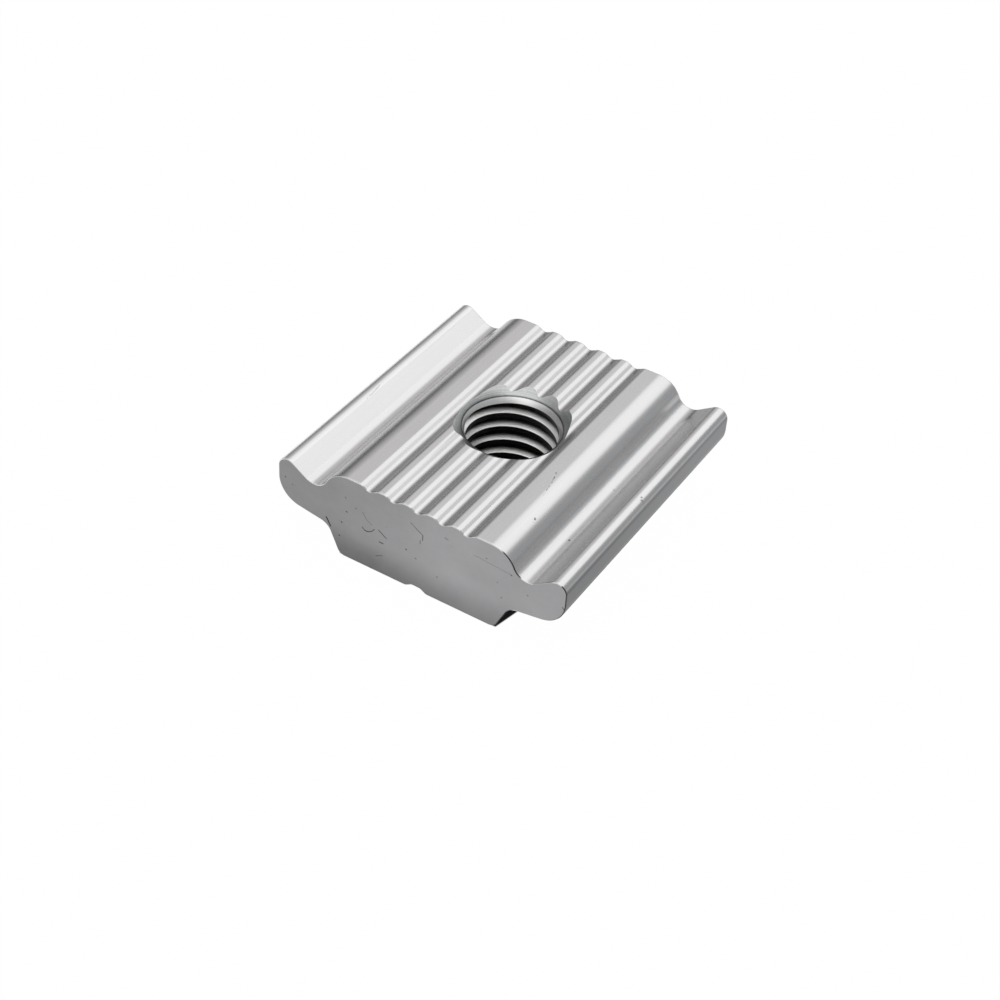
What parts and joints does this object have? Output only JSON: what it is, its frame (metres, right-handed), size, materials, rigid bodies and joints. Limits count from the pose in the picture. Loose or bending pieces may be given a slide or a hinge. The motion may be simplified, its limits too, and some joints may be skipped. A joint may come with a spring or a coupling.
{
  "type": "rail nut",
  "caption": "Slide-in rail nut of extruded section, with rounded ears, a narrower foot, a wavy grip top and a countersunk threaded through hole.",
  "frame": {"origin": "middle of the foot's underside, at the bottom centre of the bounding box", "axes": "+Z from the foot up to the grip waves along the bolt, +Y along the bar and the rail, +X across the ears"},
  "size_m": [0.0236, 0.0236, 0.0073],
  "materials": {
    "aluminium": "satin"
  },
  "bodies": {
    "root": {"rail_nut": "aluminium"}
  },
  "joints": []
}
